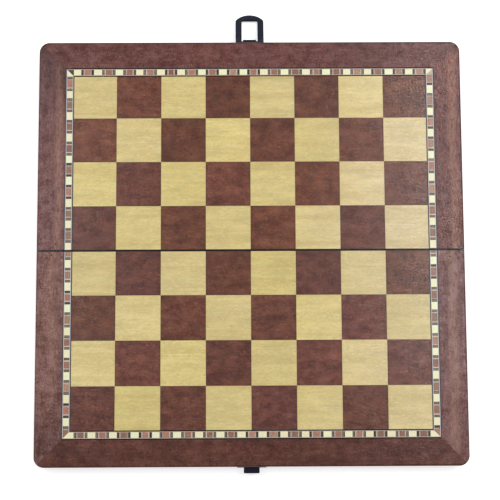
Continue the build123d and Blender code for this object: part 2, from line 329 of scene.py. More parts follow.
fieldLook = {"pores": 11.0, "band": (0.35, 0.75), "line": (0.5, 0.75), "lineShare": 0.55, "poreShare": 0.35,
             "glarePalingReach": (0.02, 0.14)}
# Stretch and mottle are features in a metre along each axis. Spread and warmth are how much the tone and the
# blue vary from square to square, the factor on the blue at the left and at the right is a painted paling of
# the lacquer's glare towards the right, and speckle is the strength of the mottle in red, green and blue.
squareLooks = {
    "light": {
        "base": srgb(213, 194, 134), "deep": srgb(203, 182, 121), "pale": srgb(224, 207, 153),
        "stretch": (6.0, 110.0, 110.0), "spread": 0.10, "warmth": 0.07, "glarePaling": (0.97, 1.20),
        "speckle": (0.30, 0.30, 0.30), "mottle": (260.0, 700.0, 700.0), "joint": 0.06,
    },
    "dark": {
        "base": srgb(104, 57, 42), "deep": srgb(90, 47, 36), "pale": srgb(127, 80, 64),
        "stretch": (30.0, 110.0, 110.0), "spread": 0.26, "warmth": 0.20, "glarePaling": (1.0, 1.0),
        "speckle": (1.15, 1.65, 1.90), "mottle": (580.0, 740.0, 740.0), "joint": 0.35,
    },
}


def makeSquareWood(name, look):
    material, tree, sockets, where = startMaterial(name)
    cell = useGroup(tree, squareTone, Vector=where, Side=squareSide)
    grain = useGroup(tree, woodGrain, Vector=cell["Vector"], Stretch=look["stretch"],
                     Pores=fieldLook["pores"])
    drawn = vectorMaths(tree, "MULTIPLY", cell["Vector"], look["mottle"])
    factor, grains = mottle(tree, drawn, 1.0, look["speckle"])
    colour = vectorMaths(tree, "MULTIPLY", grainColour(tree, grain, {**fieldLook, **look}), factor)
    tone = ramp(tree, cell["Tone"], 0.0, 1.0, 1.0 - look["spread"] / 2, 1.0 + look["spread"] / 2)
    tone = maths(tree, "MULTIPLY", tone, maths(tree, "MULTIPLY_ADD", cell["Joint"], -look["joint"], 1.0))
    cool = ramp(tree, cell["Warm"], 0.0, 1.0, 1.0 - look["warmth"], 1.0 + look["warmth"])
    # painted paling of the lacquer's glare: the blue of the light squares rises towards the right
    glarePaling = ramp(tree, splitVector(tree, where)[0], *fieldLook["glarePalingReach"], *look["glarePaling"])
    blue = maths(tree, "MULTIPLY", tone, maths(tree, "MULTIPLY", cool, glarePaling))
    toned = vectorMaths(tree, "MULTIPLY", colour, joinVector(tree, tone, tone, blue))
    lacquer(tree, sockets, where, toned, grain["Height"], grains)
    return material


# Border rails

borderLook = {
    "base": srgb(114, 73, 66),
    "deep": srgb(98, 60, 55),
    "pale": srgb(132, 92, 84),
    "along": 14.0,  # features of the grain in a metre, along the rail and across it
    "across": 110.0,
    "pores": 9.0,
    "band": (0.3, 0.7),
    "line": (0.45, 0.8),
    "lineShare": 0.8,
    "poreShare": 0.5,
    "speckle": (1.10, 1.60, 1.85),
    "mottle": 820.0,
    "specular": 0.17,
    "cornerReach": (0.11, 0.18),  # from the board's middle line, where the shade starts and where it is full
    # colour of the painted shade on the outer edge, and also of the dark mitre lines and pin holes
    "shadeAndJointColour": srgb(30, 18, 20),
    "edgeShadeLine": (0.0020, 0.0006),  # from the outer face, where the painted shade line starts and where it is full
    "mitreLine": (0.00008, 0.00024),  # from the mitre, where its line starts to fade and where it ends
    "mitreShade": 0.5,
    "pinRadius": 0.0007,
    "pinBlur": 0.3,
}
streakLook = {
    "colour": srgb(164, 122, 98),
    "wander": 0.008,
    "bends": 22.0,  # in a metre
    "core": 0.2,  # shares of the half width, where the streak starts to fade and where it ends
    "rim": 1.5,
    "ending": 0.012,
    "breaks": (520.0, 150.0, 150.0),  # weak places in a metre along each axis
    "broken": (0.32, 0.62),
    "weakest": 0.15,
}
# For each rail: its tint, how dark the painted shade on its outer edge is, the shade at its corner, the
# middle of its pin hole, and its streak's middle, half width, end and strength.
railLooks = {
    "front_outer": {"tint": (0.64, 0.52, 0.43), "edge": 0.30},
    "rear_outer": {"tint": (0.86, 0.78, 0.80), "edge": 0.60},
    "front_left": {"tint": (1.16, 1.30, 1.32), "edge": 0.15, "corner": 0.67, "pin": (-0.1773, -0.0038),
                   "streak": (-0.1750, 0.0045, 0.12, 0.2)},
    "rear_left": {"tint": (0.98, 1.00, 1.12), "edge": 0.20, "corner": 0.58, "pin": (-0.1735, 0.0062),
                  "streak": (-0.1712, 0.0034, 0.164, 0.55)},
    "front_right": {"tint": (1.04, 1.14, 1.26), "edge": 0.25, "pin": (0.1771, -0.0063),
                    "streak": (0.1785, 0.0042, 0.172, 0.45)},
    "rear_right": {"tint": (0.85, 0.73, 0.74), "edge": 0.25, "corner": 1.15, "pin": (0.1757, 0.0024),
                   "streak": (0.1818, 0.0038, 0.172, 0.65)},
}


def addStreak(tree, where, colour, streak):
    # lighter sapwood streak along the rail, strong and weak by turns
    s = streakLook
    middle, halfWidth, end, strength = streak
    x, y, _ = splitVector(tree, where)
    wander = maths(tree, "MULTIPLY_ADD", noise(tree, where, s["bends"]), s["wander"], -s["wander"] / 2)
    away = maths(tree, "ABSOLUTE", maths(tree, "ADD", maths(tree, "SUBTRACT", x, middle), wander))
    band = ramp(tree, away, halfWidth * s["core"], halfWidth * s["rim"], strength, 0.0)
    ending = ramp(tree, maths(tree, "ABSOLUTE", y), end, end + s["ending"], 1.0, 0.0)
    breaks = noise(tree, vectorMaths(tree, "MULTIPLY", where, s["breaks"]), 1.0, detail=3.0, roughness=0.7)
    broken = ramp(tree, breaks, *s["broken"], s["weakest"], 1.0)
    band = maths(tree, "MULTIPLY", maths(tree, "MULTIPLY", band, broken), ending)
    return blendColour(tree, band, colour, s["colour"])


def makeBorderWood(name, look):
    material, tree, sockets, where = startMaterial(name.replace("_", "") + "Wood")
    b = borderLook
    grainX, grainY = (b["along"], b["across"]) if "outer" in name else (b["across"], b["along"])
    grain = useGroup(tree, woodGrain, Vector=where, Stretch=(grainX, grainY, b["across"]), Pores=b["pores"])
    factor, grains = mottle(tree, where, b["mottle"], b["speckle"])
    colour = vectorMaths(tree, "MULTIPLY", grainColour(tree, grain, b), factor)
    if "streak" in look:
        colour = addStreak(tree, where, colour, look["streak"])
    colour = vectorMaths(tree, "MULTIPLY", colour, look["tint"])
    # the rail may be darker or lighter towards its mitre, as the one it meets there
    absX, absY, _ = splitVector(tree, vectorMaths(tree, "ABSOLUTE", where))
    near = ramp(tree, maths(tree, "MINIMUM", absX, absY), *b["cornerReach"], 1.0, look.get("corner", 1.0))
    colour = vectorMaths(tree, "MULTIPLY", colour, near)
    # painted shade in a dark line on the outer edge, where the top's round turns away from the light, and a
    # real dark line in the mitres
    edge = ramp(tree, maths(tree, "MAXIMUM", absX, absY), *[boardHalf - inset for inset in b["edgeShadeLine"]],
                0.0, look["edge"])
    toMitre = maths(tree, "ABSOLUTE", maths(tree, "SUBTRACT", absX, absY))
    dark = maths(tree, "MAXIMUM", edge, ramp(tree, toMitre, *b["mitreLine"], b["mitreShade"], 0.0))
    if "pin" in look:
        flat = vectorMaths(tree, "MULTIPLY", where, (1.0, 1.0, 0.0))
        gap = vectorMaths(tree, "DISTANCE", flat, (*look["pin"], 0.0))
        blur = b["pinRadius"] * b["pinBlur"]
        hole = ramp(tree, gap, b["pinRadius"] - blur, b["pinRadius"] + blur, 1.0, 0.0)
        dark = maths(tree, "MAXIMUM", dark, hole)
    colour = blendColour(tree, dark, colour, b["shadeAndJointColour"])
    height = maths(tree, "SUBTRACT", grain["Height"], dark)
    lacquer(tree, sockets, where, colour, height, grains, b["specular"])
    return material


# Small veneers of the banding, and the plywood under the field

veneerGrain = {"stretch": (160.0, 160.0, 60.0), "pores": 9.0, "line": (0.35, 0.7), "mitre": 0.0001}
veneerLooks = {
    "blackStringing": {"light": srgb(22, 19, 20), "deep": srgb(10, 10, 12), "side": srgb(74, 72, 76),
                       "specular": 0.08},
    "paleHairline": {"light": srgb(208, 196, 182), "deep": srgb(172, 162, 150), "side": srgb(200, 203, 202),
                     "specular": 0.2},
}
inlayLook = {"stretch": (170.0, 170.0, 60.0), "pores": 8.0, "line": (0.3, 0.75),
             "contrast": {"cream": 0.10, "bar": 0.35, "red": 0.45}}
plyLook = {
    "pale": srgb(198, 164, 118),
    "deep": srgb(170, 132, 88),
    "crossPly": srgb(140, 104, 70),
    "ply": 0.0008,  # thickness of a ply, and where in it the colour changes
    "change": (0.0003, 0.0005),
    "crossShare": 0.5,
    "stretch": (10.0, 90.0, 200.0),
    "pores": 8.0,
    "band": (0.3, 0.7),
    "line": (0.2, 0.8),
    "roughness": (0.6, 0.8),
    "relief": 0.00005,
}


def makePlainVeneer(name, look):
    # the strips at the left and right are paler, the colour side
    material, tree, sockets, where = startMaterial(name)
    v = veneerGrain
    grain = useGroup(tree, woodGrain, Vector=where, Stretch=v["stretch"], Pores=v["pores"])
    absX, absY, _ = splitVector(tree, vectorMaths(tree, "ABSOLUTE", where))
    onSide = ramp(tree, maths(tree, "SUBTRACT", absX, absY), 0.0, v["mitre"])
    colour = blendColour(tree, ramp(tree, grain["Line"], *v["line"]), look["light"], look["deep"])
    colour = blendColour(tree, onSide, colour, look["side"])
    lacquer(tree, sockets, where, colour, grain["Height"], specular=look["specular"])
    return material


def makeInlay(name, contrast):
    # each block carries its own colour in the attribute veneerColour, and the grain shades it
    material, tree, sockets, where = startMaterial(name)
    tint = place(tree, "Attribute", attribute_name="veneerColour")
    grain = useGroup(tree, woodGrain, Vector=where, Stretch=inlayLook["stretch"], Pores=inlayLook["pores"])
    shade = ramp(tree, grain["Line"], *inlayLook["line"], 1.0 + contrast / 2, 1.0 - contrast)
    colour = vectorMaths(tree, "MULTIPLY", tint.outputs["Color"], shade)
    lacquer(tree, sockets, where, colour, grain["Height"])
    return material


def makePlywood():
    # plies that are pale and brown by turns, which show at the panel's edge
    material, tree, sockets, where = startMaterial("plywood")
    p = plyLook
    height = maths(tree, "SUBTRACT", splitVector(tree, where)[2], ledgeZ)
    cross = ramp(tree, maths(tree, "PINGPONG", height, p["ply"]), *p["change"], 0.0, p["crossShare"])
    grain = useGroup(tree, woodGrain, Vector=where, Stretch=p["stretch"], Pores=p["pores"])
    colour = blendColour(tree, ramp(tree, grain["Band"], *p["band"]), p["pale"], p["deep"])
    colour = blendColour(tree, cross, colour, p["crossPly"])
    feed(tree, sockets["Base Color"], paintSeamShade(tree, where, colour))
    feed(tree, sockets["Roughness"], ramp(tree, grain["Line"], *p["line"], *p["roughness"]))
    addBump(tree, sockets, grain["Height"], p["relief"])
    return material


# Steel and felt

steelLook = {
    "cloud": 260.0,  # features in a metre
    "scratch": (300.0, 4000.0, 4000.0),
    "thinCloud": (0.55, 0.75),
    "thinScratch": (0.4, 0.7),
    "rubbedShare": 0.5,
    # painted shade on the bail's rolled edges, which turn away from the light
    "edge": srgb(5, 5, 8),
    "edgeShadeShows": (0.55, 0.95),
    "cloudShows": (0.3, 0.7),
    "roughness": (0.34, 0.50),
    "metallic": 0.5,
    "specular": 0.12,
    "cloudRelief": 0.5,
    "relief": 0.00001,
}
steelColours = {  # the black, and the steel where it is rubbed thin
    "blackSteel": (srgb(27, 28, 40), srgb(84, 86, 96)),
    # the bail's black is lighter than the other steel: a painted highlight of its crowned faces
    "bailSteelPaintedHighlight": (srgb(36, 38, 52), srgb(84, 86, 96)),
    "blackScrewSteel": (srgb(30, 31, 36), srgb(110, 110, 112)),
}
feltLook = {
    "deep": srgb(18, 58, 40),
    "light": srgb(46, 96, 70),
    "cloud": srgb(20, 62, 46),
    "fibres": ((1100.0, 500.0, 900.0), (420.0, 1300.0, 900.0)),  # features in a metre of the crossed noises
    "fibreShows": (0.4, 0.75),
    "clouds": 30.0,
    "cloudShows": (0.3, 0.7),
    "cloudShare": 0.35,
    "roughShows": (0.3, 0.8),
    "roughness": (0.9, 1.0),
    "sheen": 0.4,
    "specular": 0.1,
    "relief": 0.0003,
}


def makeMetalGroup():
    # Blackened steel: cloudy oxide, fine scratches and rubbed spots where the black is thin.
    s = steelLook
    group, given, out = startGroup("blackOxide", "Vector", "Cloud Rubbed Height")
    cloud = noise(group, given["Vector"], s["cloud"], detail=3.0, roughness=0.55)
    scratch = noise(group, vectorMaths(group, "MULTIPLY", given["Vector"], s["scratch"]), 1.0)
    rubbed = maths(group, "MULTIPLY", ramp(group, cloud, *s["thinCloud"]),
                   ramp(group, scratch, *s["thinScratch"]))
    relief = maths(group, "MULTIPLY", cloud, s["cloudRelief"])
    feedByName(group, out, Cloud=cloud, Rubbed=rubbed, Height=maths(group, "ADD", scratch, relief))
    return group


blackOxide = makeMetalGroup()


def makeSteel(name, black, worn):
    material, tree, sockets, where = startMaterial(name)
    s = steelLook
    oxide = useGroup(tree, blackOxide, Vector=where)
    colour = blendColour(tree, maths(tree, "MULTIPLY", oxide["Rubbed"], s["rubbedShare"]), black, worn)
    # edgeShade is 0 on flats and 1 on rolled edges, where painted shade darkens the sides that turn away from
    # the light
    shade = place(tree, "Attribute", attribute_name="edgeShade").outputs["Fac"]
    colour = blendColour(tree, ramp(tree, shade, *s["edgeShadeShows"]), colour, s["edge"])
    feed(tree, sockets["Base Color"], colour)
    feed(tree, sockets["Roughness"], ramp(tree, oxide["Cloud"], *s["cloudShows"], *s["roughness"]))
    sockets["Metallic"].default_value = s["metallic"]
    sockets["Specular IOR Level"].default_value = s["specular"]
    addBump(tree, sockets, oxide["Height"], s["relief"])
    return material


def makeFelt():
    # pressed wool: short fibres as two crossed noises, a soft sheen and no gloss
    material, tree, sockets, where = startMaterial("greenFelt")
    f = feltLook
    drawn = [vectorMaths(tree, "MULTIPLY", where, stretch) for stretch in f["fibres"]]
    fibres = maths(tree, "MAXIMUM", *[noise(tree, vector, 1.0, detail=3.0, roughness=0.7, distortion=1.2)
                                      for vector in drawn])
    clouds = ramp(tree, noise(tree, where, f["clouds"], detail=3.0), *f["cloudShows"], 0.0, f["cloudShare"])
    colour = blendColour(tree, ramp(tree, fibres, *f["fibreShows"]), f["deep"], f["light"])
    feed(tree, sockets["Base Color"], blendColour(tree, clouds, colour, f["cloud"]))
    feed(tree, sockets["Roughness"], ramp(tree, fibres, *f["roughShows"], *f["roughness"]))
    sockets["Sheen Weight"].default_value = f["sheen"]
    sockets["Specular IOR Level"].default_value = f["specular"]
    addBump(tree, sockets, fibres, f["relief"])
    return material


borderWood = {name: makeBorderWood(name, look) for name, look in railLooks.items()}
squareWood = {name: makeSquareWood(name + "Squares", look) for name, look in squareLooks.items()}
blackVeneer, paleVeneer = [makePlainVeneer(name, look) for name, look in veneerLooks.items()]
inlayWood = {name: makeInlay(name + "Inlay", contrast) for name, contrast in inlayLook["contrast"].items()}
plywood = makePlywood()
steel, bailSteelPaintedHighlight, screwSteel = [makeSteel(name, *colours) for name, colours in steelColours.items()]
felt = makeFelt()
print("materials made:", len(bpy.data.materials))


# Mesh helpers

def gridFaces(rows, columns, closedRows=False, closedColumns=False):
    # quads between neighbouring points of a grid that is numbered row by row
    row = np.arange(rows if closedRows else rows - 1)[:, None]
    column = np.arange(columns if closedColumns else columns - 1)[None, :]
    nextRow, nextColumn = (row + 1) % rows, (column + 1) % columns
    corners = (row * columns + column, row * columns + nextColumn,
               nextRow * columns + nextColumn, nextRow * columns + column)
    shape = (row.size, column.size)
    return np.stack([np.broadcast_to(corner, shape) for corner in corners], -1).reshape(-1, 4).tolist()


def closedFaces(rows, columns):
    # a skin whose rows are closed rings, with one face over each end
    ends = [list(range(columns)), list(range((rows - 1) * columns, rows * columns))]
    return gridFaces(rows, columns, closedColumns=True) + ends


def addObject(name, data):
    made = bpy.data.objects.new(name, data)
    bpy.context.scene.collection.objects.link(made)
    return made


def addSmooth(name, mesh, material, sharpAngle, merged=None, flatAngle=None):
    # outward faces, smooth but for sharp edges; near points and flat runs of faces can be merged first
    work = bmesh.new()
    work.from_mesh(mesh)
    if merged:
        bmesh.ops.remove_doubles(work, verts=work.verts, dist=merged)
        bmesh.ops.dissolve_limit(work, angle_limit=radians(flatAngle), verts=work.verts, edges=work.edges)
    bmesh.ops.recalc_face_normals(work, faces=work.faces)
    work.to_mesh(mesh)
    work.free()
    mesh.materials.clear()
    mesh.materials.append(material)
    mesh.shade_smooth()
    mesh.set_sharp_from_angle(angle=radians(sharpAngle))
    return addObject(name, mesh)


def makePiece(name, points, faces, material, body, replaced, sharpAngle=35.0):
    mesh = bpy.data.meshes.new(name)
    mesh.from_pydata(np.asarray(points).reshape(-1, 3), [], faces)
    piece = addSmooth(name, mesh, material, sharpAngle)
    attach(piece, body)
    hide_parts(*replaced)
    return piece


# Rails: an L section carried along each side, round the plan corner and up to the mitre

railSizes = {"border": 0.024, "cornerRadius": 0.009, "topRound": 0.0015, "rimChamfer": 0.0008, "wall": 0.009,
             "flange": 0.008, "ledge": 0.006, "support": 0.0004, "roundSteps": 6, "cornerSteps": 12,
             "straightSteps": 16}


def railSection():
    # inset from the outer face and height, once round the section; near rows follow the plan corner
    s = railSizes
    turn = np.linspace(0, pi / 2, s["roundSteps"] + 1)
    inset = s["topRound"] * (1 - np.cos(turn))
    height = topZ - s["topRound"] * (1 - np.sin(turn))
    near = [(s["rimChamfer"], rimZ), (0, rimZ + s["rimChamfer"]), (0, topZ - s["topRound"] - s["support"]),
            *zip(inset, height), (s["topRound"] + s["support"], topZ)]
    ledge = s["border"] + s["ledge"]
    far = [(s["border"], topZ), (s["border"], ledgeZ), (ledge, ledgeZ), (ledge, topZ - s["flange"]),
           (s["wall"], topZ - s["flange"]), (s["wall"], rimZ)]
    return np.array(near), np.array(far)


def railPoints(start, mirrored):
    # Near point: outer line minus inset times its normal, where the line is straight, then an arc of 45
    # degrees. Far point: straight line at its inset, shared out by the outer line's length, up to the mitre.
    s = railSizes
    radius, straight = s["cornerRadius"], s["straightSteps"] + 1
    corner = boardHalf - radius
    turn = np.linspace(0, pi / 4, s["cornerSteps"] + 1)[1:]
    along = np.r_[np.linspace(start, corner, straight), corner + radius * np.sin(turn)]
    across = np.r_[np.full(straight, boardHalf), corner + radius * np.cos(turn)]
    lean = np.r_[np.zeros(straight), turn]
    share = np.r_[0, np.cumsum(np.hypot(np.diff(along), np.diff(across)))]
    share /= share[-1]
    if mirrored:
        along, across = np.r_[-along[:0:-1], along], np.r_[across[:0:-1], across]
        lean, share = np.r_[-lean[:0:-1], lean], np.r_[-share[:0:-1], share]
    near, far = railSection()
    nearAlong = along[:, None] - near[:, 0] * np.sin(lean)[:, None]
    nearAcross = across[:, None] - near[:, 0] * np.cos(lean)[:, None]
    farAlong = start + (boardHalf - far[:, 0] - start) * share[:, None]
    farAcross = np.broadcast_to(boardHalf - far[:, 0], farAlong.shape)
    height = np.broadcast_to(np.r_[near[:, 1], far[:, 1]], (len(along), len(near) + len(far)))
    return np.stack([np.hstack([nearAlong, farAlong]), np.hstack([nearAcross, farAcross]), height], -1)


def placeStrip(points, half, strip):
    # from along +X at the rear to the strip's own side
    if strip == "outer":
        return points * (1, halves[half], 1)
    return points[..., [1, 0, 2]] * (hands[strip], halves[half], 1)


def makeRail(half, strip):
    points = railPoints(0.0, True) if strip == "outer" else railPoints(seamHalf, False)
    makePiece(f"{half}{strip.title()}Rail", placeStrip(points, half, strip), closedFaces(*points.shape[:2]),
              borderWood[f"{half}_{strip}"], f"{half}_half", [f"{half}_{strip}_rail"])


for half in halves:
    for strip in ("outer", "left", "right"):
        makeRail(half, strip)
print("rails made")


# Mosaic row of the banding

mosaic = {
    "glueLine": 0.00005,
    "width": 0.0050,
    "outside": 0.0015,  # stringing and hairline between the mosaic and the border
    "cream": 0.0070,
    "bar": 0.0021,
    "rose": 0.0013,
    "widthJitter": 0.06,  # share of a block's width
    "jitter": 0.00035,
    "margin": 0.0003,  # no cut lies nearer than this to the seam or the mitre
    "splitBars": 0.6,  # share of the bars that show two thin lines with a pale one between
    "warmthShares": (0.0, 1.0, 0.6),  # how far a block's warmth moves its red, green and blue
    "brightest": 0.85,
    "sharpAngle": 20.0,
    "seed": 64,
}
mosaicRows = {  # along the strip, the middle of the first cream block and the repeat
    "frontouter": (-0.1587, 0.01873), "rearouter": (-0.1557, 0.01874),
    "frontleft": (0.0117, 0.0199), "rearleft": (0.0037, 0.0198),
    "frontright": (0.0098, 0.0203), "rearright": (0.0048, 0.0202),
}
creamBlock, darkBlock, greyBlock, roseBlock, redBlock = range(5)
blockKinds = {"cream": (creamBlock,), "bar": (darkBlock, greyBlock), "red": (roseBlock, redBlock)}
blockLooks = [  # in the order of the kinds: colour, how much its tone varies, and how much its warmth
    (srgb(240, 232, 192), 0.06, 0.02),
    (srgb(52, 46, 40), 0.45, 0.10),
    (srgb(136, 126, 112), 0.25, 0.06),
    (srgb(188, 164, 150), 0.22, 0.08),
    (srgb(158, 114, 94), 0.32, 0.14),
]
blockColours = np.array([colour[:3] for colour, *_ in blockLooks])
blockSpreads, blockWarmths = np.array([look[1:] for look in blockLooks]).T[..., None]
bandOuter = stringHigh.x + mosaic["glueLine"] / 2 - mosaic["outside"]
bandInner = bandOuter - mosaic["width"]
dice = np.random.default_rng(mosaic["seed"])


def mosaicStrip(first, pitch, mirrored):
    # cuts along one strip, and the colour number of the block after each cut
    count = int(2.2 * boardHalf / pitch)
    starts = first + pitch * (np.arange(count) - 2)
    bar, rose = [mosaic["bar"] / 3] * 3, mosaic["rose"]
    widths = np.tile([mosaic["cream"], *bar, rose, 0, rose, *bar], (count, 1))
    widths *= 1 + dice.uniform(-mosaic["widthJitter"], mosaic["widthJitter"], widths.shape)
    starts = starts - widths[:, 0] / 2 + dice.uniform(-1, 1, count) * mosaic["jitter"]
    widths[:-1, 5] = np.diff(starts) - widths[:-1].sum(1)  # the red block takes what is left of the repeat
    widths[-1, 5] = pitch - widths[-1].sum()
    thirds = [darkBlock] * 3
    kinds = np.tile([creamBlock, *thirds, roseBlock, redBlock, roseBlock, *thirds], (count, 1))
    split = dice.random(count) < mosaic["splitBars"]
    kinds[split, 2] = greyBlock
    kinds[split, 8] = greyBlock
    cuts = (starts[:, None] + np.c_[np.zeros(count), np.cumsum(widths[:, :-1], 1)]).ravel()
    kinds = kinds.ravel()
    low = -bandInner if mirrored else seamHalf
    inside = (cuts > low + mosaic["margin"]) & (cuts < bandInner - mosaic["margin"])
    firstKind = kinds[np.flatnonzero(inside)[0] - 1]
    return cuts[inside], np.r_[firstKind, kinds[inside]]


def mosaicBlocks(half, strip):
    # every block is a prism between two cuts, and the end blocks are cut by the mitre
    mirrored = strip == "outer"
    cuts, kinds = mosaicStrip(*mosaicRows[half + strip], mirrored)
    merged = np.r_[True, np.diff(kinds) != 0]  # thirds of a plain dark bar are one block
    kinds = kinds[merged]
    cuts = cuts[merged[1:]]
    gap = mosaic["glueLine"] / 2
    ends = np.array([[bandInner, bandOuter]]) - gap
    begins = -ends if mirrored else np.full((1, 2), seamHalf)
    start = np.vstack([begins, np.c_[cuts, cuts] + gap])
    stop = np.vstack([np.c_[cuts, cuts] - gap, ends])
    across = np.broadcast_to([bandInner + gap, bandOuter - gap], start.shape)
    plan = np.stack([np.c_[start[:, 0], stop[:, 0], stop[:, 1], start[:, 1]],
                     np.c_[across[:, 0], across[:, 0], across[:, 1], across[:, 1]]], -1)
    points = np.empty((len(kinds), 2, 4, 3))
    points[..., :2] = plan[:, None]
    points[..., 2] = np.array([veneerZ, topZ])[None, :, None]
    return placeStrip(points, half, strip), kinds


def prismFaces(count):
    # bottom, top and four sides of each block of eight points
    one = np.array([(0, 1, 2, 3), (4, 5, 6, 7), (0, 1, 5, 4), (1, 2, 6, 5), (2, 3, 7, 6), (3, 0, 4, 7)])
    return (one[None] + 8 * np.arange(count)[:, None, None]).reshape(-1, 4).tolist()


def makeMosaic(half):
    rows = [mosaicBlocks(half, strip) for strip in ("left", "outer", "right")]
    points, kinds = [np.concatenate(parts) for parts in zip(*rows)]
    warmth = blockWarmths[kinds] * dice.uniform(-1, 1, (len(kinds), 1)) * mosaic["warmthShares"]
    tone = blockSpreads[kinds] * dice.uniform(-1, 1, (len(kinds), 1))
    colours = np.clip(blockColours[kinds] * (1 + tone) * (1 + warmth), 0.0, mosaic["brightest"])
    cadNames = {"cream": "cream_blocks", "bar": "dark_bars", "red": "red_blocks"}
    for name, members in blockKinds.items():
        chosen = np.isin(kinds, members)
        piece = makePiece(f"{half}{name.title()}Mosaic", points[chosen], prismFaces(chosen.sum()),
                          inlayWood[name], f"{half}_half", [f"{half}_{cadNames[name]}"],
                          mosaic["sharpAngle"])
        tint = piece.data.attributes.new("veneerColour", "FLOAT_COLOR", "FACE")
        flat = np.c_[np.repeat(colours[chosen], 6, 0), np.ones(6 * chosen.sum())]
        tint.data.foreach_set("color", flat.ravel())


for half in halves:
    makeMosaic(half)
print("mosaic laid")


# Squares, stringing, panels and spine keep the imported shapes

for half in halves:
    for node, wood in (("light_squares", squareWood["light"]), ("dark_squares", squareWood["dark"]),
                       ("black_stringing", blackVeneer), ("pale_hairlines", paleVeneer), ("panel", plywood),
                       ("spine_rail", borderWood["front_outer"])):
        nodes[f"{half}_{node}"].material_slots[0].material = wood


# Felt lining: a thin pad whose free face swells a little and rolls over at its edges

feltSizes = {
    "rows": 61,
    "columns": 121,
    "edge": 0.0016,  # width over which the edge rolls, and the share of the thickness at its rim
    "rim": 0.35,
    "crown": 0.00025,
    "waves": (90, 75),  # of the ripple, in radians a metre along x and y
    "sway": (3, 70),
}


def makeFeltLining(half):
    # Thickness: the rim's share, rising along a quarter circle over the edge's width to the whole, less a low
    # ripple of sine waves along y times swaying ones along x. The grid crowds towards its edges by a cosine.
    f = feltSizes
    low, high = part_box(f"{half}_felt_lining")
    u, v = np.meshgrid(np.linspace(0, 1, f["rows"]), np.linspace(0, 1, f["columns"]), indexing="ij")
    easeU, easeV = (1 - np.cos(pi * u)) / 2, (1 - np.cos(pi * v)) / 2
    x = low.x + (high.x - low.x) * easeV
    y = low.y + (high.y - low.y) * easeU
    margin = np.minimum(np.minimum(x - low.x, high.x - x), np.minimum(y - low.y, high.y - y))
    roll = np.sqrt(np.clip(1 - (1 - np.clip(margin / f["edge"], 0, 1)) ** 2, 0, 1))
    thick = (high.z - low.z) * (f["rim"] + (1 - f["rim"]) * roll)
    waves = np.sin(f["waves"][0] * x + f["sway"][0] * np.sin(f["sway"][1] * y)) * np.sin(f["waves"][1] * y)
    ripple = f["crown"] * (0.5 + 0.5 * waves) * roll
    bottom = np.stack([x, y, np.maximum(high.z - thick + ripple, low.z)], -1)
    top = np.stack([x, y, np.full_like(x, high.z)], -1)
    rows, columns = x.shape
    count = rows * columns
    faces = gridFaces(rows, columns)
    faces += [[corner + count for corner in face] for face in gridFaces(rows, columns)]
    index = np.arange(count).reshape(rows, columns)
    rim = np.r_[index[0, :], index[1:, -1], index[-1, -2::-1], index[-2:0:-1, 0]]
    after = np.roll(rim, -1)
    faces += np.stack([rim, after, after + count, rim + count], -1).tolist()
    makePiece(f"{half}FeltLining", np.concatenate([bottom.reshape(-1, 3), top.reshape(-1, 3)]), faces, felt,
              f"{half}_half", [f"{half}_felt_lining"])


for half in halves:
    makeFeltLining(half)
print("felt laid")


# Hardware

easing = {  # width of the bevel on each piece
    "plate": 0.00018,
    "latchPin": 0.0003,
    "hingePin": 0.0001,
    "leaf": 0.00008,
    "segments": 2,
    "merged": 0.000005,  # points nearer than this are one, and so are faces that lie flatter than the angle
    "flatAngle": 1.0,
    "sharpAngle": 40.0,
}


def softCopy(node, name, body, width):
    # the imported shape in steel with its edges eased; flat runs of triangles are merged before the bevel
    mesh = nodes[node].data.copy()
    mesh.name = name
    piece = addSmooth(name, mesh, steel, easing["sharpAngle"], easing["merged"], easing["flatAngle"])
    bevel = piece.modifiers.new("easedEdges", "BEVEL")
    bevel.width = width
    bevel.segments = easing["segments"]
    bevel.limit_method = "ANGLE"
    bevel.angle_limit = radians(easing["sharpAngle"])
    bevel.use_clamp_overlap = True
    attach(piece, body)
    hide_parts(node)


softCopy("latch_plate", "latchPlate", "rear_half", easing["plate"])
softCopy("catch_plate", "catchPlate", "front_half", easing["plate"])
softCopy("latch_pin", "latchPin", "rear_half", easing["latchPin"])
for hand in hands:
    softCopy(f"{hand}_hinge_pin", f"{hand}HingePin", "front_half", easing["hingePin"])
    for half in halves:
        softCopy(f"{hand}_hinge_{half}_leaf", f"{hand}Hinge{half.title()}Leaf", f"{half}_half",
                 easing["leaf"])


# Bail: a flat U with an arched end, crowned on both faces, with rolled eyes round its pin

bail = {
    "width": 0.0258,
    "window": 0.0145,
    "reach": 0.0316,
    "arch": 0.0065,
    "band": 0.0070,
    "thickness": 0.0020,
    "windowRadius": 0.0010,
    "crown": 3.4,  # power of the superellipse
    "eyeRadius": 0.0020,
    "boreRadius": 0.00095,
    "eyeRound": 0.0003,
    "tableClearance": 0.00005,
    "armShare": 0.93,  # how far up to the shoulder the arm's own steps go
    "cornerShare": 0.62,  # share of the rest of the outer edge that the window's corner is paired with
    "armSteps": 10,
    "cornerSteps": 12,
    "topSteps": 16,
    "ringSteps": 32,
    "eyeSteps": 40,
    "roundSteps": 4,
}
bailJoint = next(joint for joint in frame["joints"] if joint["child"] == "latch_bail")
bailPivot = np.array(bailJoint["pos_m"])
bailDroop = np.arcsin((bailPivot[2] - bail["thickness"] / 2 - bail["tableClearance"]) / bail["reach"])


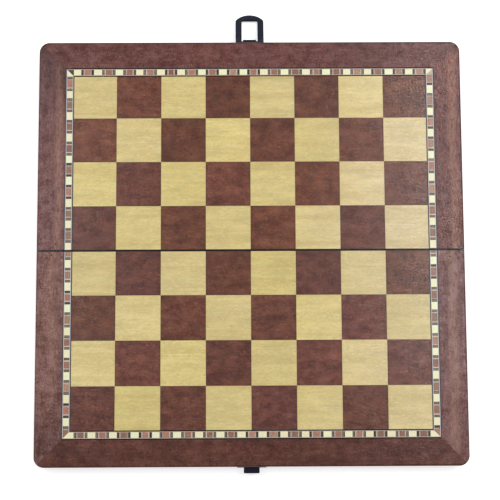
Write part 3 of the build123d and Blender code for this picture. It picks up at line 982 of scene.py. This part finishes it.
def bailEdges():
    # outer and window edge of the right half of the bail, in pairs from the eye to the middle of the arch
    b = bail
    outerHalf, innerHalf = b["width"] / 2, b["window"] / 2
    shoulder, head = b["reach"] - b["arch"], b["reach"] - b["band"]
    arc = b["arch"] / 2 + outerHalf ** 2 / (2 * b["arch"])  # radius of the arched end
    radius = b["windowRadius"]
    arm = np.linspace(0, 1, b["armSteps"] + 1)
    turn = np.linspace(0, pi / 2, b["cornerSteps"] + 1)[1:]
    across = np.linspace(1, 0, b["topSteps"] + 1)[1:]
    innerX = np.r_[np.full(arm.size, innerHalf), innerHalf - radius * (1 - np.cos(turn)),
                   (innerHalf - radius) * across]
    innerY = np.r_[(head - radius) * arm, head - radius * (1 - np.sin(turn)), np.full(across.size, head)]
    armTop = shoulder * b["armShare"]
    share = b["cornerShare"]
    edge = np.r_[np.linspace(0, share, turn.size + 1)[1:], share + (1 - share) * (1 - across)]
    rise = shoulder - armTop
    flat = outerHalf / (outerHalf + rise)  # share of the corner path that lies on the arch
    onArm = edge < 1 - flat
    x = np.where(onArm, outerHalf, outerHalf * (1 - (edge - (1 - flat)) / flat))
    y = np.where(onArm, armTop + rise * edge / (1 - flat), b["reach"] - arc + np.sqrt(arc ** 2 - x ** 2))
    outerX = np.r_[np.full(arm.size, outerHalf), x]
    outerY = np.r_[armTop * arm, y]
    return np.c_[outerX, outerY], np.c_[innerX, innerY]


def makeBail():
    # Section: a superellipse between the two edges, half the width times |cos|^(2/n) across and half the
    # thickness times |sin|^(2/n) up.
    b = bail
    outer, inner = bailEdges()
    outer = np.vstack([outer, outer[-2::-1] * (-1, 1)])
    inner = np.vstack([inner, inner[-2::-1] * (-1, 1)])
    turn = np.arange(b["ringSteps"]) * 2 * pi / b["ringSteps"]
    power = 2 / b["crown"]
    side = np.sign(np.cos(turn)) * np.abs(np.cos(turn)) ** power
    lift = np.sign(np.sin(turn)) * np.abs(np.sin(turn)) ** power * b["thickness"] / 2
    flat = (outer + inner)[:, None] / 2 + (outer - inner)[:, None] / 2 * side[None, :, None]
    band = np.concatenate([flat, np.broadcast_to(lift[None, :, None], (*flat.shape[:2], 1))], -1)
    rows, columns = band.shape[:2]
    faces = closedFaces(rows, columns)
    points = [placeBail(band.reshape(-1, 3))]
    start = rows * columns
    for hand in hands.values():
        eye, eyeFaces = bailEye(hand)
        points.append(placeBail(eye))
        faces += [[corner + start for corner in face] for face in eyeFaces]
        start += len(eye)
    piece = makePiece("latchBail", np.concatenate(points), faces, bailSteelPaintedHighlight, "latch_bail",
                      ["latch_bail"])
    # painted shade on the rolled sides of the band; the eyes stay at 0
    shade = np.zeros(start)
    shade[:rows * columns] = np.tile(np.abs(side), rows)
    piece.data.attributes.new("edgeShade", "FLOAT", "POINT").data.foreach_set("value", shade)


def bailEye(hand):
    # a ring turned about the pin: its section is a rounded rectangle from bore to eye radius
    b = bail
    low, high = b["window"] / 2, b["width"] / 2
    r = b["eyeRound"]
    turn = np.linspace(0, pi / 2, b["roundSteps"] + 1)
    rise, run = b["eyeRadius"] - r + r * np.sin(turn), r * np.cos(turn)
    radial = np.r_[b["boreRadius"], rise, rise[::-1], b["boreRadius"]]
    along = np.r_[low, low + r - run, high - r + run[::-1], high] * hand
    spin = np.arange(b["eyeSteps"]) * 2 * pi / b["eyeSteps"]
    ring = np.stack([np.broadcast_to(along, (spin.size, along.size)), radial * np.cos(spin)[:, None],
                     radial * np.sin(spin)[:, None]], -1)
    return ring.reshape(-1, 3), gridFaces(spin.size, along.size, closedRows=True, closedColumns=True)


def placeBail(points):
    # bail plane to the board's frame: x stays, y runs from the pivot down towards the table
    outward = np.array([0, np.cos(bailDroop), -np.sin(bailDroop)])
    upward = np.array([0, np.sin(bailDroop), np.cos(bailDroop)])
    return bailPivot + points[:, :1] * (1, 0, 0) + points[:, 1:2] * outward + points[:, 2:] * upward


makeBail()


# Countersunk screws with a slot across the head

screw = {
    "shankRadius": 0.0008,
    "length": 0.0065,
    "tip": 0.0012,
    "tipShare": 0.1,  # of the shank's radius
    "dome": 0.00006,
    "slotWidth": 0.00042,
    "slotDepth": 0.0004,
    "slotWall": 0.00004,
    "land": 0.0001,
    "middle": 0.02,  # share of the head's radius at its first ring
    "headRings": 16,
    "spinSteps": 48,
    "hingeHalfGap": 0.009,
    "seed": 5,
}
screwDice = np.random.default_rng(screw["seed"])


def screwShape(thickness):
    # Turned about z: a low dome with a slot cut across it, a narrow land, a cone to the plate's back, a shank
    # and a tip.
    s = screw
    headRadius = s["shankRadius"] + thickness - s["land"]
    radius = np.r_[np.linspace(s["middle"], 1, s["headRings"]) * headRadius, headRadius, s["shankRadius"],
                   s["shankRadius"], s["shankRadius"] * s["tipShare"]]
    height = np.r_[np.zeros(s["headRings"]), -s["land"], -thickness, -s["length"] + s["tip"], -s["length"]]
    spin = np.arange(s["spinSteps"]) * 2 * pi / s["spinSteps"]
    x, y = radius[:, None] * np.cos(spin), radius[:, None] * np.sin(spin)
    z = np.broadcast_to(height[:, None], x.shape).copy()
    head = slice(0, s["headRings"] - 1)
    inSlot = np.clip((s["slotWidth"] / 2 - np.abs(y[head])) / s["slotWall"], 0, 1)
    z[head] -= s["slotDepth"] * inSlot + s["dome"] * (radius[head, None] / headRadius) ** 2
    return np.stack([x, y, z], -1).reshape(-1, 3), closedFaces(*x.shape)


def makeScrews(node, name, body, thickness, outward, spots):
    outward, across = np.array(outward, float), np.array((1.0, 0.0, 0.0))
    other = np.cross(outward, across)
    points, faces = [], []
    shape, shapeFaces = screwShape(thickness)
    for number, spot in enumerate(spots):
        turn = screwDice.uniform(0, pi)
        first = across * np.cos(turn) + other * np.sin(turn)
        second = other * np.cos(turn) - across * np.sin(turn)
        points.append(np.array(spot) + shape[:, :1] * first + shape[:, 1:2] * second + shape[:, 2:] * outward)
        faces += [[corner + number * len(shape) for corner in face] for face in shapeFaces]
    makePiece(name, np.concatenate(points), faces, screwSteel, body, [node], 30.0)


for half in halves:
    low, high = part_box(f"{half}_hinge_screws")
    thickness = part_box(f"left_hinge_{half}_leaf")[1].z - low.z
    outer = high.x - screw["shankRadius"] - thickness + screw["land"]
    spots = [(hand * (outer - inward), (low.y + high.y) / 2, low.z) for hand in hands.values()
             for inward in (0.0, 2 * screw["hingeHalfGap"])]
    makeScrews(f"{half}_hinge_screws", f"{half}HingeScrews", f"{half}_half", thickness, (0, 0, -1), spots)
for plate, body, side in (("latch", "rear_half", 1), ("catch", "front_half", -1)):
    low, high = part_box(f"{plate}_screws")
    thickness = (high.z - low.z) / 2 - screw["shankRadius"] + screw["land"]
    apart = high.x - (high.z - low.z) / 2
    face = high.y if side > 0 else low.y
    spots = [(hand * apart, face, (low.z + high.z) / 2) for hand in hands.values()]
    makeScrews(f"{plate}_screws", f"{plate}Screws", body, thickness, (0, side, 0), spots)
print("hardware made")


# Camera, from the square corners in the photograph (500 pixels wide)

photo = {
    "width": 500,
    "focal": 1349.0,  # in pixels
    "tilt": (-7.38, 0.44, 0.23),
    "offset": (0.017, -0.003, -30.0),
    "sensor": 36.0,
    "nearest": 0.01,
}


def makeCamera():
    # the fit gives a turn and an offset in squares, from the board's middle to the camera's frame
    camera = bpy.data.cameras.new("photoCamera")
    camera.sensor_width = photo["sensor"]
    camera.lens = photo["focal"] * photo["sensor"] / photo["width"]
    camera.clip_start = photo["nearest"]
    turn = Euler([radians(angle) for angle in photo["tilt"]], "XYZ").to_matrix().transposed()
    spot = Vector((0, 0, topZ)) - turn @ Vector(photo["offset"]) * squareSide
    holder = addObject("photoCamera", camera)
    holder.matrix_world = Matrix.Translation(spot) @ turn.to_4x4()
    bpy.context.scene.camera = holder


# Studio: soft lamps, a pale surround and a white floor that keeps the shadow

studio = {
    "surround": 0.455,
    "floorColour": (0.86, 0.86, 0.86, 1.0),
    "floorGlow": (0.58, 0.75),  # near the board and far from it
    "glowReach": (0.4, 2.5),  # from the board's middle
    "floorSize": 12.0,
    "lamps": [
        # name, place, aimed at, width, length, watts
        ("softBox", (0.58, 0.49, 1.70), (0.58, 0.49, 0.0), 0.32, 1.20, 15.0),
        ("sideBox", (-0.60, 0.30, 1.70), (-0.60, 0.30, 0.0), 0.30, 0.70, 6.5),
    ],
}


def seenRays(tree):
    # 1 for what the camera, gloss and glass look at, 0 for light that falls on the object
    rays = place(tree, "LightPath").outputs
    seen = maths(tree, "MAXIMUM", rays["Is Camera Ray"], rays["Is Glossy Ray"])
    return maths(tree, "MAXIMUM", seen, rays["Is Transmission Ray"])


def makeStudio():
    world = bpy.data.worlds.new("paleRoom")
    bpy.context.scene.world = world
    tree = emptyTree(world)
    background = place(tree, "Background")
    background.inputs["Color"].default_value = (1, 1, 1, 1)
    level = place(tree, "Mix")
    feed(tree, level.inputs[0], seenRays(tree))
    level.inputs[2].default_value = studio["surround"]
    level.inputs[3].default_value = 1.0
    tree.links.new(level.outputs[0], background.inputs["Strength"])
    tree.links.new(background.outputs[0], place(tree, "OutputWorld").inputs["Surface"])
    for name, spot, target, width, length, power in studio["lamps"]:
        lamp = bpy.data.lights.new(name, "AREA")
        lamp.shape = "RECTANGLE"
        lamp.size, lamp.size_y, lamp.energy = width, length, power
        holder = addObject(name, lamp)
        holder.location = spot
        holder.rotation_euler = (Vector(spot) - Vector(target)).to_track_quat("Z", "Y").to_euler()


def makeFloor():
    material = bpy.data.materials.new("whiteFloor")
    tree = emptyTree(material)
    diffuse, glow = place(tree, "BsdfDiffuse"), place(tree, "Emission")
    diffuse.inputs["Color"].default_value = studio["floorColour"]
    distance = vectorMaths(tree, "LENGTH", place(tree, "TexCoord").outputs["Object"])
    level = ramp(tree, distance, *studio["glowReach"], *studio["floorGlow"])
    feed(tree, glow.inputs["Strength"], maths(tree, "MULTIPLY", seenRays(tree), level))
    both = place(tree, "AddShader")
    tree.links.new(diffuse.outputs[0], both.inputs[0])
    tree.links.new(glow.outputs[0], both.inputs[1])
    tree.links.new(both.outputs[0], place(tree, "OutputMaterial").inputs["Surface"])
    half = studio["floorSize"] / 2
    mesh = bpy.data.meshes.new("floor")
    corners = [(-half, -half, 0), (half, -half, 0), (half, half, 0), (-half, half, 0)]
    mesh.from_pydata(corners, [], [(0, 1, 2, 3)])
    mesh.materials.append(material)
    floor = addObject("floor", mesh)


makeCamera()
makeStudio()
makeFloor()
bpy.context.scene.view_settings.view_transform = "Standard"
print("camera and studio set")
